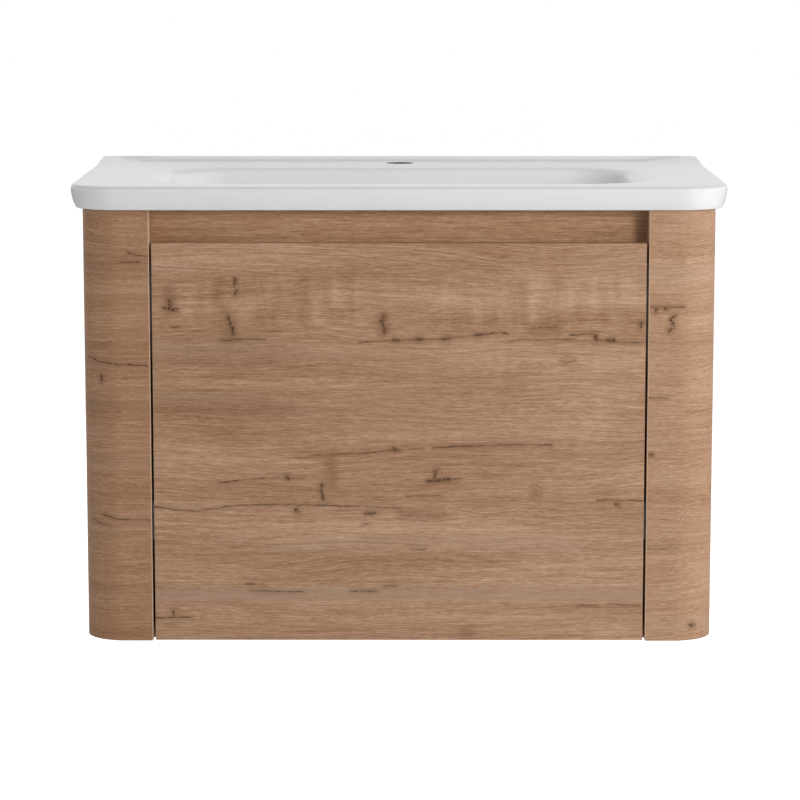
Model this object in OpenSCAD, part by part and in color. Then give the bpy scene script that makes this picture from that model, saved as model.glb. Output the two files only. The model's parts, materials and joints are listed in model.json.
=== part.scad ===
// Wall-hung washbasin cabinet with one deep drawer and a ceramic basin.
// Sizes are in millimetres. X runs from left to right, the wall is the plane
// Y = 0, the front faces -Y and Z runs up. The origin lies on the wall, midway
// between the four wall screws.

/* [Cabinet] */
// Width of the cabinet over its curved side panels
cabinet_w = 782; // [770:1:790]
// Height of the cabinet without the basin
cabinet_h = 538; // [530:1:560]
// Depth of the cabinet from the wall to its front
cabinet_d = 445; // [443:1:448]
// Outer radius of the two curved front corners
corner_r = 50; // [45:1:55]
// Thickness of the side panels, the bottom and the drawer front
panel_t = 18; // [16:1:19]
// Thickness of the inner boards
board_t = 16; // [15:1:16]
// Clear width between the side panels, where the drawer sits
opening_w = 612; // [608:1:616]
// Height from the middle of the wall screws up to the cabinet's top
hang_drop = 60; // [58:1:64]
// Room for fingers behind the top edge of the drawer front
finger_gap = 20; // [19:1:21]
// Height of the rail behind the finger gap
recess_rail_h = 70; // [60:1:80]
// Height of the rear rail under the basin
rear_top_rail_h = 110; // [100:1:120]
// Height of the rear rail on the bottom panel
rear_bottom_rail_h = 100; // [60:1:120]

/* [Basin] */
// Width of the basin
basin_w = 810; // [800:1:820]
// Depth of the basin from the wall to its front edge
basin_d = 458; // [456:1:462]
// Height of the basin's rim above the cabinet
rim_h = 29; // [27:1:32]
// Height of the raised back edge above the rim
upstand_h = 5; // [4:1:7]
// Radius of the basin's front corners
basin_corner_r = 60; // [50:1:70]
// Amount by which the rim's side draws in from its widest line to its foot
rim_draft = 5; // [3:0.5:6]
// Length of the bowl from left to right at its lip
bowl_w = 596; // [580:1:600]
// Distance from the basin's front edge to the bowl
bowl_front = 58; // [58:1:64]
// Distance from the wall to the bowl
tap_deck = 124; // [120:1:130]
// Radius of the bowl's corners at its lip
bowl_corner_r = 72; // [60:1:80]
// Depth of the bowl below the rim
bowl_depth = 109; // [100:1:112]
// Thickness of the bowl's walls
bowl_wall = 8; // [7:0.5:8]
// Thickness of the bowl's floor
bowl_floor = 11; // [9:1:12]
// Diameter of the tap hole
tap_hole_d = 35; // [34:0.5:36]
// Distance from the wall to the middle of the tap hole
tap_setback = 60; // [56:1:64]
// Diameter of the waste hole
waste_hole_d = 45; // [44:0.5:46]
// Distance from the wall to the middle of the waste hole
waste_setback = 240; // [238:1:242]

/* [Drawer] */
// Height of the drawer front
front_h = 496; // [480:1:500]
// Gap round the drawer front
front_gap = 3; // [2:0.5:4]
// Height of the drawer box
box_h = 323; // [250:1:330]
// Length of the drawer box behind its front
box_l = 400; // [398:1:402]
// Thickness of the drawer box's boards
box_t = 15; // [14:1:16]
// Thickness of the drawer's bottom
box_floor_t = 8; // [6:1:10]
// Width of the cut-out that clears the trap
trap_w = 190; // [160:2:200]
// Distance from the wall to the front of that cut-out
trap_reach = 320; // [300:1:325]

/* [Runners] */
// Room between the drawer box and the cabinet's inner side for one runner
runner_w = 13; // [12.8:0.1:13.2]
// Height of one runner
runner_h = 45; // [44:0.5:46]
// Length of one runner
runner_l = 400; // [380:1:400]
// Height of the runners' middle above the bottom panel
runner_rise = 130; // [100:1:160]
// Travel of the drawer
drawer_travel = 400; // [350:1:400]
// Steel thickness of the runners
runner_steel = 1.2; // [1:0.1:1.3]
// Diameter of the runners' balls
ball_d = 4; // [3.8:0.1:4]

/* [Wall hangers] */
// Distance between the left and right wall screws
screw_spacing_x = 560; // [558:1:562]
// Distance between the upper and lower wall screws
screw_spacing_z = 32; // [30:1:34]
// Diameter of the holes for the wall screws
wall_hole_d = 6.5; // [5:0.5:7]
// Width of one wall plate
plate_w = 40; // [38:1:40]
// Steel thickness of the wall plates
plate_t = 2.5; // [2:0.5:2.5]

/* [Hidden] */

$fn = 64;
over = 1;
sliver = 0.01;

// Colours as the photograph shows them
oak = "#b08358";
ceramic_white = "#eef0f0";
steel_grey = "#b9bcc0";
zinc_grey = "#c9ccd0";
box_grey = "#8f8f8c";
beech = "#d8b98c";
clear_rubber = "#d8dad8";
seal_white = "#f2f2f0";
cap_grey = "#d5d6d6";
chrome_silver = "#d9dde2";

// Levels and planes of the cabinet
top_z = hang_drop;
bottom_z = top_z - cabinet_h;
floor_z = bottom_z + panel_t;
half_w = cabinet_w / 2;
half_opening = opening_w / 2;
front_y = -cabinet_d;
front_back_y = front_y + panel_t;
rail_front_y = front_back_y + finger_gap;
rail_back_y = rail_front_y + board_t;
side_outer_x = half_opening + board_t;
side_hollow_x = half_w - panel_t;

// Rear rail, set in from the wall so that the wall plates fit behind it
plate_room = 14;
rear_rail_front_y = -plate_room - board_t;
rear_rail_mid_y = -plate_room - board_t / 2;

// Battens between each inner side and its curved panel
batten_top_gap = 8;
batten_mid_y = -250;
batten_places = [-board_t, batten_mid_y];

// Dowels
dowel_r = 4;
dowel_l = 33;
dowel_slack = 0.05;
dowel_in_side = 11;
dowel_in_bottom = 12;
bottom_dowel_places = [-380, -60];
recess_dowel_drops = [15, 55];
rear_top_dowel_drops = [40, 90];
rear_bottom_dowel_rises = [20, 80];

// Countersunk screws
screw_r = 1.8;
screw_head_r = 3.4;
screw_head_l = 1.6;
screw_slack = 0.05;
cross_l = 4;
cross_w = 0.8;
cross_depth = 0.9;
long_screw_l = 30;
batten_screw_rises = [160, 360];
bottom_screw_places = [-300, -140];

// Bumpers on the bottom panel's front edge
bumper_t = 2;
bumper_r = 4;
bumper_x = 220;

// Basin levels, measured from the cabinet's top
deck_z = top_z + rim_h;
pocket_h = 14;
pocket_half_w = 362;
pocket_inset = 5;
pocket_front_y = rail_back_y + pocket_inset;
bowl_floor_z = deck_z - bowl_depth;

// Roundings of the rim and its back corners
rim_round = 4.5;
back_corner_r = 5;

// Bowl walls: lean per millimetre of depth, and width of the curve at the foot
end_lean = 0.42;
front_lean = 0.72;
back_lean = 0.3;
end_foot = 70;
cross_foot = 48;
foot_power = 3;
bowl_steps = 7;
bowl_corner_shrink = 0.42;
lip_steps = 3;
lip_round = 9;

// Waste outlet, its flange seat and the overflow passage behind the bowl
waste_r = waste_hole_d / 2;
waste_flange_r = 32;
waste_flange_t = 3;
outlet_r = 33;
outlet_l = 32;
outlet_z = bowl_floor_z - outlet_l;
overflow_drop = 49;
overflow_r = 10;
overflow_seat_r = 13.2;
duct_r = 8;
duct_wall = 9;
duct_y = -121;
duct_floor = 3;
duct_z = outlet_z + duct_r + duct_floor;
overflow_tube_l = 12;
overflow_tube_wall = 1.2;
overflow_flange_r = 13;
overflow_flange_t = 2;
overflow_gap = 0.2;
overflow_guard = 14;

// Silicone bead
bead = 6;
bead_front_y = front_y + corner_r;
bead_back_y = -20;

// Hangers, on the inner faces of the inner sides
hanger_w = 20;
hanger_l = 40;
hanger_h = 52;
hanger_z = 4;
hanger_rail_gap = 2;
hanger_back_y = rear_rail_front_y - hanger_rail_gap;
hanger_front_y = hanger_back_y - hanger_l;
hook_w = 12;
hook_t = 3;
hook_offset = 2;
hook_x = half_opening - hanger_w / 2 - hook_offset;
hook_rest_z = 44.5;
hook_drop = 10.5;
hook_tip_y = -4.5;
hook_l_in_body = 26;
hook_front_y = hanger_back_y - hook_l_in_body;
hook_room = 6;
adjuster_r = 3;
adjuster_slack = 0.1;
height_screw_z = 22;
height_screw_l = 26;
hanger_screw_zs = [12, 32];
hanger_screw_inset = 7;
hanger_screw_y = hanger_back_y - hanger_screw_inset;
hanger_screw_l = 27;
hanger_sink = 3;
cap_t = 1.2;
cap_gap = 0.3;

// Wall plates
plate_z = -35;
plate_shelf_z = 30;
plate_shelf_d = 12;
plate_x = screw_spacing_x / 2;

// Runner sections, from the cabinet's inner side inwards
runner_mid_z = floor_z + runner_rise;
runner_front_y = front_back_y + bumper_t;
rail_flange = 9;
ball_r = ball_d / 2;
ball_gap = 0.3;
ball_room = ball_d + 2 * ball_gap;
middle_x = 3.4;
middle_flange = 7.6;
middle_h = runner_h - 2 * runner_steel - 2 * ball_room;
drawer_rail_h = middle_h - 2 * runner_steel - 2 * ball_room;
drawer_rail_flange = 7.2;
member_l = runner_l - 10;
cage_l = 160;
cage_margin = 15;
cage_y = runner_front_y + drawer_travel / 4 + cage_margin;
cage_steel = 0.6;
outer_cage_x = 2;
outer_cage_w = 8;
inner_cage_x = 4.9;
inner_cage_w = 5.8;
outer_ball_x = 6;
inner_ball_x = 8;
ball_count = 8;
ball_pitch = 19;
rail_screw_l = 14;
rail_screw_places = [30, 200, 370];

// Drawer
box_half_w = half_opening - runner_w;
box_inner_half_w = box_half_w - box_t;
box_rise = 12;
box_z = floor_z + box_rise;
box_top_z = box_z + box_h;
box_back_y = front_back_y + box_l;
box_floor_rise = 10;
box_floor_z = box_z + box_floor_rise;
box_floor_top_z = box_floor_z + box_floor_t;
groove = 6;
front_rise = 1;
front_z = bottom_z + front_rise;
trap_half_w = trap_w / 2;
trap_front_y = -trap_reach;
front_screw_x = 200;
front_screw_inset = 46;
front_screw_zs = [box_z + front_screw_inset, box_top_z - front_screw_inset];
front_screw_l = 28;
box_screw_inset = 60;
box_screw_zs = [box_z + box_screw_inset, box_top_z - box_screw_inset];

// ---------- shared shapes ----------

// A box between two corners
module block(low, high) {
    translate(low)
        cube(high - low);
}

// A right-hand part and its mirror image on the left
module on_side(side) {
    mirror([side < 0 ? 1 : 0, 0, 0])
        children();
}

// Both sides at once
module both_sides() {
    for (side = [-1, 1])
        on_side(side)
            children();
}

// A countersunk screw with its head's face at the origin, pointing along +Z
module screw(length, slack = 0) {
    difference() {
        union() {
            cylinder(r1 = screw_head_r + slack, r2 = screw_r + slack, h = screw_head_l);
            cylinder(r = screw_r + slack, h = length + slack);
        }
        if (slack == 0)
            cross_recess();
    }
}

// The cross recess in a screw's head
module cross_recess() {
    for (turn = [0, 90])
        rotate([0, 0, turn])
            translate([-cross_l / 2, -cross_w / 2, -over])
                cube([cross_l, cross_w, cross_depth + over]);
}

// Turns something that points along +Z so that it points along +X
module along_x() {
    rotate([0, 90, 0])
        children();
}

// Turns something that points along +Z so that it points along -Y
module along_front() {
    rotate([90, 0, 0])
        children();
}

// Turns something that points along +Z so that it points along +Y
module along_back() {
    rotate([-90, 0, 0])
        children();
}

// ---------- carcass ----------

// Right half of the cabinet's plan from x0 outwards, drawn in by an inset
module corner_plan(inset, x0, back) {
    side_x = half_w - inset;
    centre = [half_w - corner_r, front_y + corner_r];
    translate([x0, front_y + inset])
        square([centre[0] - x0, back - front_y - inset]);
    translate([x0, centre[1]])
        square([side_x - x0, back - centre[1]]);
    intersection() {
        translate(centre)
            circle(r = corner_r - inset);
        translate([centre[0] - over, front_y])
            square([corner_r + over, corner_r + over]);
    }
}

// Curved side panel: flat side, quarter-round corner and front return
module side_panel(side) {
    color(oak)
        on_side(side)
            translate([0, 0, bottom_z])
                linear_extrude(cabinet_h)
                    difference() {
                        corner_plan(0, half_opening, 0);
                        corner_plan(panel_t, half_opening - over, over);
                    }
}

// Flat inner side that carries the runner and the hanger
module inner_side(side) {
    color(oak)
        on_side(side)
            difference() {
                block([half_opening, front_back_y, floor_z], [side_outer_x, 0, top_z]);
                right_dowels(dowel_slack);
                right_carcass_screws(screw_slack);
                right_cabinet_rail_screws(screw_slack);
                right_hanger_screws(screw_slack);
            }
}

// Upright battens that tie each inner side to its curved panel
module battens(side) {
    color(beech)
        on_side(side)
            difference() {
                for (y = batten_places)
                    block([side_outer_x, y, floor_z],
                          [side_hollow_x, y + board_t, top_z - batten_top_gap]);
                right_carcass_screws(screw_slack);
            }
}

// Bottom panel, set back behind the drawer front
module bottom_panel() {
    color(oak)
        difference() {
            translate([0, 0, bottom_z])
                linear_extrude(panel_t)
                    difference() {
                        union() {
                            corner_plan(panel_t, -over, 0);
                            mirror([1, 0])
                                corner_plan(panel_t, -over, 0);
                        }
                        translate([-half_opening, front_back_y - over])
                            square([opening_w, bumper_t + over]);
                    }
            both_sides() {
                right_dowels(dowel_slack);
                right_carcass_screws(screw_slack);
            }
        }
}

// Rail behind the finger gap, under the front of the basin
module recess_rail() {
    color(oak)
        difference() {
            block([-half_opening, rail_front_y, top_z - recess_rail_h],
                  [half_opening, rail_back_y, top_z]);
            both_sides()
                right_dowels(dowel_slack);
        }
}

// Rear rail under the back of the basin, with slots for the two hooks
module rear_top_rail() {
    slot_room = 3;
    slot_low = [hook_x - hook_w / 2 - slot_room, rear_rail_front_y - over,
                hook_rest_z - slot_room];
    slot_high = [hook_x + hook_w / 2 + slot_room, over - plate_room,
                 hook_rest_z + hook_t + slot_room];
    color(oak)
        difference() {
            block([-half_opening, rear_rail_front_y, top_z - rear_top_rail_h],
                  [half_opening, -plate_room, top_z]);
            both_sides() {
                block(slot_low, slot_high);
                right_dowels(dowel_slack);
            }
        }
}

// Rear rail on the bottom panel, flat against the wall
module rear_bottom_rail() {
    color(oak)
        difference() {
            block([-half_opening, -board_t, floor_z],
                  [half_opening, 0, floor_z + rear_bottom_rail_h]);
            both_sides()
                right_dowels(dowel_slack);
        }
}

// A dowel that joins a rail's end to the right inner side
module rail_dowel(y, z, slack) {
    length = dowel_l + 2 * slack;
    translate([half_opening + dowel_in_side + slack - length, y, z])
        along_x()
            cylinder(r = dowel_r + slack, h = length);
}

// All dowels of the right half; a slack turns them into their holes
module right_dowels(slack = 0) {
    for (y = bottom_dowel_places)
        translate([half_opening + board_t / 2, y, floor_z - dowel_in_bottom - slack])
            cylinder(r = dowel_r + slack, h = dowel_l + 2 * slack);
    for (drop = recess_dowel_drops)
        rail_dowel(rail_front_y + board_t / 2, top_z - drop, slack);
    for (drop = rear_top_dowel_drops)
        rail_dowel(rear_rail_mid_y, top_z - drop, slack);
    for (rise = rear_bottom_dowel_rises)
        rail_dowel(-board_t / 2, floor_z + rise, slack);
}

module carcass_dowels() {
    color(beech)
        both_sides()
            right_dowels();
}

// Screws of the right half: up through the bottom, and into the battens
module right_carcass_screws(slack = 0) {
    for (y = bottom_screw_places)
        translate([half_opening + board_t / 2, y, bottom_z])
            screw(long_screw_l, slack);
    for (y = batten_places, rise = batten_screw_rises)
        translate([half_opening, y + board_t / 2, floor_z + rise])
            along_x()
                screw(long_screw_l, slack);
}

module carcass_screws() {
    color(steel_grey)
        both_sides()
            right_carcass_screws();
}

// Soft dots that stop the drawer front
module front_bumpers() {
    color(clear_rubber)
        both_sides()
            translate([bumper_x, front_back_y + bumper_t, floor_z - panel_t / 2])
                along_front()
                    cylinder(r = bumper_r, h = bumper_t);
}

// ---------- basin ----------

// A thin slice with rounded corners, as one level of a hull
module slice(z, half_x, front, back, front_r, back_r) {
    for (side = [-1, 1]) {
        translate([side * (half_x - front_r), front + front_r, z])
            cylinder(r = front_r, h = sliver, $fn = 48);
        translate([side * (half_x - back_r), back - back_r, z])
            cylinder(r = back_r, h = sliver, $fn = 48);
    }
}

// One level of the rim, drawn in at its front and sides
module rim_slice(z, inset) {
    slice(z, basin_w / 2 - inset, inset - basin_d, 0,
          basin_corner_r - inset, back_corner_r);
}

// The rim: a drafted slab with a rounded top edge and a rounded foot
module rim() {
    foot_round = 2;
    widest_z = deck_z - rim_round;
    hull() {
        rim_slice(top_z, rim_draft + foot_round);
        rim_slice(top_z + foot_round, rim_draft);
        rim_slice(widest_z, 0);
        for (angle = [30, 60])
            rim_slice(widest_z + rim_round * sin(angle), rim_round * (1 - cos(angle)));
        rim_slice(deck_z - sliver, rim_round);
    }
}

// The raised back edge, with a cove in front of it
module upstand() {
    cove_r = 10;
    crest = 4;
    half_x = basin_w / 2 - rim_round;
    cove = [for (angle = [0:15:60])
        [-crest - cove_r + cove_r * sin(angle),
         deck_z + cove_r * (1 - cos(angle))]];
    outline = concat(
        [[0, deck_z - rim_round], [-crest - cove_r, deck_z - rim_round]],
        cove,
        [[-crest, deck_z + upstand_h], [0, deck_z + upstand_h]]);
    translate([-half_x, 0, 0])
        rotate([90, 0, 90])
            linear_extrude(2 * half_x)
                polygon(outline);
}

// How far a bowl wall has drawn in at a share u of the depth
function wall_inset(u, lean, foot) =
    lean * bowl_depth * u + foot * (1 - sqrt(1 - pow(u, foot_power)));

// One level of the bowl, grown outwards for its outer skin
module bowl_slice(u, grow, sink) {
    slice(deck_z - bowl_depth * u - sink * u,
          bowl_w / 2 - wall_inset(u, end_lean, end_foot) + grow,
          bowl_front - basin_d + wall_inset(u, front_lean, cross_foot) - grow,
          -tap_deck - wall_inset(u, back_lean, cross_foot) + grow,
          bowl_corner_r * (1 - bowl_corner_shrink * u) + grow,
          bowl_corner_r * (1 - bowl_corner_shrink * u) + grow);
}

// The bowl's hollow, or its outer skin when it is grown and sunk
module bowl_form(grow, sink) {
    hull()
        for (step = [0:bowl_steps])
            bowl_slice(sin(90 * step / bowl_steps), grow, sink);
}

// The soft lip of the bowl, in three bevels
module bowl_lip() {
    for (step = [0:lip_steps - 1]) {
        low = 90 * step / lip_steps;
        high = 90 * (step + 1) / lip_steps;
        hull() {
            lip_slice(low);
            lip_slice(high);
        }
    }
}

// One level of the lip, at an angle round its edge
module lip_slice(angle) {
    depth = lip_round * (1 - sin(angle));
    grow = lip_round * (1 - cos(angle));
    slice(deck_z - depth + (angle == 90 ? sliver : 0),
          bowl_w / 2 - wall_inset(depth / bowl_depth, end_lean, end_foot) + grow,
          bowl_front - basin_d - grow,
          -tap_deck + grow,
          bowl_corner_r + grow, bowl_corner_r + grow);
}

// The back wall's place and slope at the overflow
overflow_share = overflow_drop / bowl_depth;
overflow_z = deck_z - overflow_drop;
overflow_y = -tap_deck - wall_inset(overflow_share, back_lean, cross_foot);
overflow_tilt = atan(back_lean + cross_foot * foot_power * pow(overflow_share, 2)
    / (2 * bowl_depth * sqrt(1 - pow(overflow_share, foot_power))));

// Moves something that points along +Z to the overflow, pointing out of the wall
module at_overflow() {
    translate([0, overflow_y, overflow_z])
        rotate([90 - overflow_tilt, 0, 0])
            children();
}

// Ceramic round the overflow passage and the waste outlet
module outlet_body() {
    half_duct = duct_r + duct_wall;
    block([-half_duct, duct_y - half_duct, outlet_z],
          [half_duct, duct_y + half_duct, top_z + pocket_h]);
    block([-half_duct, -waste_setback, outlet_z], [half_duct, duct_y, bowl_floor_z]);
    translate([0, -waste_setback, outlet_z])
        cylinder(r = outlet_r, h = bowl_floor_z - outlet_z);
}

// The overflow's way from the bowl's back wall down to the waste outlet
module overflow_passage() {
    at_overflow()
        translate([0, 0, -overflow_tube_l - overflow_guard])
            cylinder(r = overflow_r, h = overflow_tube_l + overflow_guard + over);
    at_overflow()
        translate([0, 0, -overflow_flange_t])
            cylinder(r = overflow_seat_r, h = overflow_flange_t + overflow_guard);
    translate([0, duct_y, duct_z])
        cylinder(r = duct_r, h = overflow_z - duct_z);
    translate([0, duct_y + duct_r, duct_z])
        along_front()
            cylinder(r = duct_r, h = waste_setback + duct_y + duct_r - waste_r / 2);
}

// The ceramic basin in one piece, hollow below its deck
module basin() {
    color(ceramic_white)
        difference() {
            union() {
                difference() {
                    union() {
                        rim();
                        upstand();
                    }
                    block([-pocket_half_w, pocket_front_y, top_z - over],
                          [pocket_half_w, rear_rail_front_y, top_z + pocket_h]);
                }
                bowl_form(bowl_wall, bowl_floor);
                outlet_body();
            }
            bowl_form(0, 0);
            bowl_lip();
            translate([0, -tap_setback, top_z - over])
                cylinder(d = tap_hole_d, h = rim_h + 2 * over);
            translate([0, -waste_setback, outlet_z - over])
                cylinder(d = waste_hole_d, h = bowl_floor_z - outlet_z + 2 * over);
            translate([0, -waste_setback, bowl_floor_z - waste_flange_t])
                cylinder(r = waste_flange_r, h = waste_flange_t + over);
            overflow_passage();
        }
}

// Silicone bead under the basin along both side panels
module basin_seal() {
    color(seal_white)
        both_sides()
            translate([0, bead_back_y, 0])
                rotate([90, 0, 0])
                    linear_extrude(bead_back_y - bead_front_y)
                        polygon([[side_hollow_x, top_z], [side_hollow_x - bead, top_z],
                                 [side_hollow_x, top_z - bead]]);
}

// Chrome ring in the overflow
module overflow_ring() {
    tube_r = overflow_r - overflow_gap;
    color(chrome_silver)
        at_overflow()
            difference() {
                union() {
                    translate([0, 0, -overflow_flange_t])
                        cylinder(r = overflow_flange_r, h = overflow_flange_t);
                    translate([0, 0, -overflow_tube_l])
                        cylinder(r = tube_r, h = overflow_tube_l);
                }
                translate([0, 0, -overflow_tube_l - over])
                    cylinder(r = tube_r - overflow_tube_wall, h = overflow_tube_l + 2 * over);
            }
}

// ---------- wall hangers ----------

// Steel plate on the wall, with a shelf and an upright lip for the hook
module wall_plate(side) {
    low_x = plate_x - plate_w / 2;
    high_x = plate_x + plate_w / 2;
    color(steel_grey)
        on_side(side)
            difference() {
                union() {
                    block([low_x, -plate_t, plate_z], [high_x, 0, plate_shelf_z]);
                    block([low_x, -plate_shelf_d, plate_shelf_z - plate_t],
                          [high_x, 0, plate_shelf_z]);
                    block([low_x, -plate_shelf_d, plate_shelf_z - plate_t],
                          [high_x, plate_t - plate_shelf_d, hook_rest_z]);
                }
                for (z = [-screw_spacing_z / 2, screw_spacing_z / 2])
                    translate([plate_x, over, z])
                        along_front()
                            cylinder(d = wall_hole_d, h = plate_t + 2 * over);
            }
}

// Hanger's die-cast body, screwed to the inner side
module hanger_body(side) {
    slot_x = hook_w / 2 + cap_gap;
    color(zinc_grey)
        on_side(side)
            difference() {
                block([half_opening - hanger_w, hanger_front_y, hanger_z],
                      [half_opening, hanger_back_y, hanger_z + hanger_h]);
                block([hook_x - slot_x, hook_front_y, hook_rest_z - hook_room],
                      [hook_x + slot_x, over, hook_rest_z + hook_t + hook_room]);
                right_height_screw(adjuster_slack);
                right_depth_screw(adjuster_slack);
                right_hanger_screws(screw_slack);
                for (z = hanger_screw_zs)
                    translate([half_opening - hanger_w - over, hanger_screw_y, z])
                        along_x()
                            cylinder(r = screw_head_r + screw_slack, h = hanger_sink + over);
            }
}

// Steel hook that hangs on the wall plate's lip
module hanger_hook(side) {
    low_x = hook_x - hook_w / 2;
    high_x = hook_x + hook_w / 2;
    color(steel_grey)
        on_side(side) {
            block([low_x, hook_front_y, hook_rest_z], [high_x, hook_tip_y, hook_rest_z + hook_t]);
            block([low_x, hook_tip_y - hook_t, hook_rest_z - hook_drop],
                  [high_x, hook_tip_y, hook_rest_z + hook_t]);
        }
}

// An adjusting screw from the hanger's front, with a cross recess
module adjuster(length, slack) {
    difference() {
        cylinder(r = adjuster_r + slack, h = length);
        if (slack == 0)
            cross_recess();
    }
}

module right_height_screw(slack = 0) {
    translate([hook_x, hanger_front_y, height_screw_z])
        along_back()
            adjuster(height_screw_l, slack);
}

module right_depth_screw(slack = 0) {
    translate([hook_x, hanger_front_y, hook_rest_z + hook_t / 2])
        along_back()
            adjuster(hook_front_y - hanger_front_y, slack);
}

module height_adjusting_screws() {
    color(steel_grey)
        both_sides()
            right_height_screw();
}

module depth_adjusting_screws() {
    color(steel_grey)
        both_sides()
            right_depth_screw();
}

// Screws that hold the right hanger to its inner side
module right_hanger_screws(slack = 0) {
    for (z = hanger_screw_zs)
        translate([half_opening - hanger_w + hanger_sink, hanger_screw_y, z])
            along_x()
                screw(hanger_screw_l, slack);
}

module hanger_screws() {
    color(steel_grey)
        both_sides()
            right_hanger_screws();
}

// Plastic cap that slips over the hanger from the front
module hanger_cap(side) {
    grow = cap_t + cap_gap;
    color(cap_grey)
        on_side(side)
            difference() {
                block([half_opening - hanger_w - grow, hanger_front_y - grow, hanger_z - grow],
                      [half_opening, hanger_back_y, hanger_z + hanger_h + grow]);
                block([half_opening - hanger_w - cap_gap, hanger_front_y - cap_gap,
                       hanger_z - cap_gap],
                      [half_opening + over, hanger_back_y + over, hanger_z + hanger_h + cap_gap]);
            }
}

// ---------- runners ----------

// A channel along the runner: web at x0, flanges reaching to x0 + flange.
// A negative flange turns the channel's open side towards the cabinet.
module channel(x0, flange, height, steel, front, length) {
    web_x = flange > 0 ? x0 : x0 - steel;
    flange_x = flange > 0 ? x0 : x0 + flange;
    inner = half_opening;
    block([inner - web_x - steel, front, runner_mid_z - height / 2],
          [inner - web_x, front + length, runner_mid_z + height / 2]);
    for (end = [-1, 1]) {
        outer_z = end * height / 2;
        inner_z = end * (height / 2 - steel);
        block([inner - flange_x - abs(flange), front, runner_mid_z + min(outer_z, inner_z)],
              [inner - flange_x, front + length, runner_mid_z + max(outer_z, inner_z)]);
    }
}

// A ball cage: a thin channel with balls set into its two flanges
module ball_cage(x0, width, height, ball_x) {
    first_y = cage_y + (cage_l - (ball_count - 1) * ball_pitch) / 2;
    channel(x0, width, height + cage_steel, cage_steel, cage_y, cage_l);
    for (end = [-1, 1], i = [0:ball_count - 1])
        translate([half_opening - ball_x, first_y + i * ball_pitch,
                   runner_mid_z + end * height / 2])
            sphere(r = ball_r);
}

module cabinet_rail(side) {
    color(zinc_grey)
        on_side(side)
            difference() {
                channel(0, rail_flange, runner_h, runner_steel, runner_front_y, runner_l);
                right_cabinet_rail_screws(screw_slack);
            }
}

module outer_ball_cage(side) {
    color(steel_grey)
        on_side(side)
            ball_cage(outer_cage_x, outer_cage_w, middle_h + ball_room, outer_ball_x);
}

module middle_rail(side) {
    color(zinc_grey)
        on_side(side)
            channel(middle_x, middle_flange, middle_h, runner_steel, runner_front_y, member_l);
}

module inner_ball_cage(side) {
    color(steel_grey)
        on_side(side)
            ball_cage(inner_cage_x, inner_cage_w, drawer_rail_h + ball_room, inner_ball_x);
}

module drawer_rail(side) {
    color(zinc_grey)
        on_side(side)
            difference() {
                channel(runner_w, -drawer_rail_flange, drawer_rail_h, runner_steel,
                        runner_front_y, member_l);
                right_drawer_rail_screws(screw_slack);
            }
}

// Screws through the right cabinet rail into the inner side
module right_cabinet_rail_screws(slack = 0) {
    for (place = rail_screw_places)
        translate([half_opening - runner_steel, runner_front_y + place, runner_mid_z])
            along_x()
                screw(rail_screw_l, slack);
}

// Screws through the right drawer rail into the drawer's side
module right_drawer_rail_screws(slack = 0) {
    for (place = rail_screw_places)
        translate([half_opening - runner_w + runner_steel, runner_front_y + place, runner_mid_z])
            rotate([0, -90, 0])
                screw(rail_screw_l, slack);
}

module cabinet_rail_screws() {
    color(steel_grey)
        both_sides()
            right_cabinet_rail_screws();
}

module drawer_rail_screws() {
    color(steel_grey)
        both_sides()
            right_drawer_rail_screws();
}

// ---------- drawer ----------

module drawer_front() {
    half_front = half_opening - front_gap;
    color(oak)
        difference() {
            block([-half_front, front_y, front_z], [half_front, front_back_y, front_z + front_h]);
            both_sides()
                right_front_screws(screw_slack);
        }
}

// Front board of the drawer box, behind the drawer front
module drawer_inner_front() {
    color(box_grey)
        difference() {
            block([-box_inner_half_w, front_back_y, box_z],
                  [box_inner_half_w, front_back_y + box_t, box_top_z]);
            drawer_floor_space();
            both_sides() {
                right_front_screws(screw_slack);
                right_box_screws(screw_slack);
            }
        }
}

module drawer_side(side) {
    color(box_grey)
        on_side(side)
            difference() {
                block([box_inner_half_w, front_back_y, box_z],
                      [box_half_w, box_back_y, box_top_z]);
                drawer_floor_space();
                right_box_screws(screw_slack);
                right_drawer_rail_screws(screw_slack);
            }
}

// The space of the drawer's bottom, from groove to groove
module drawer_floor_space(back = over) {
    block([-box_inner_half_w - groove, front_back_y + box_t - groove, box_floor_z],
          [box_inner_half_w + groove, box_back_y + back, box_floor_top_z]);
}

module drawer_bottom() {
    color(box_grey)
        difference() {
            drawer_floor_space(0);
            block([-trap_half_w, trap_front_y, box_floor_z - over],
                  [trap_half_w, over, box_floor_top_z + over]);
        }
}

// One half of the drawer's back, beside the trap cut-out
module drawer_back(side) {
    color(box_grey)
        on_side(side)
            difference() {
                block([trap_half_w + box_t, box_back_y - box_t, box_floor_top_z],
                      [box_inner_half_w, box_back_y, box_top_z]);
                right_box_screws(screw_slack);
            }
}

// Side wall of the trap cut-out
module trap_cutout_side(side) {
    color(box_grey)
        on_side(side)
            block([trap_half_w, trap_front_y, box_floor_top_z],
                  [trap_half_w + box_t, box_back_y, box_top_z]);
}

module trap_cutout_front() {
    color(box_grey)
        block([-trap_half_w - box_t, trap_front_y - box_t, box_floor_top_z],
              [trap_half_w + box_t, trap_front_y, box_top_z]);
}

// Screws from inside the drawer into the right half of its front
module right_front_screws(slack = 0) {
    for (z = front_screw_zs)
        translate([front_screw_x, front_back_y + box_t, z])
            along_front()
                screw(front_screw_l, slack);
}

module drawer_front_screws() {
    color(steel_grey)
        both_sides()
            right_front_screws();
}

// Screws through the right drawer side into the inner front and the back
module right_box_screws(slack = 0) {
    for (y = [front_back_y + box_t / 2, box_back_y - box_t / 2], z = box_screw_zs)
        translate([box_half_w, y, z])
            rotate([0, -90, 0])
                screw(long_screw_l, slack);
}

module drawer_box_screws() {
    color(steel_grey)
        both_sides()
            right_box_screws();
}

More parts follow.
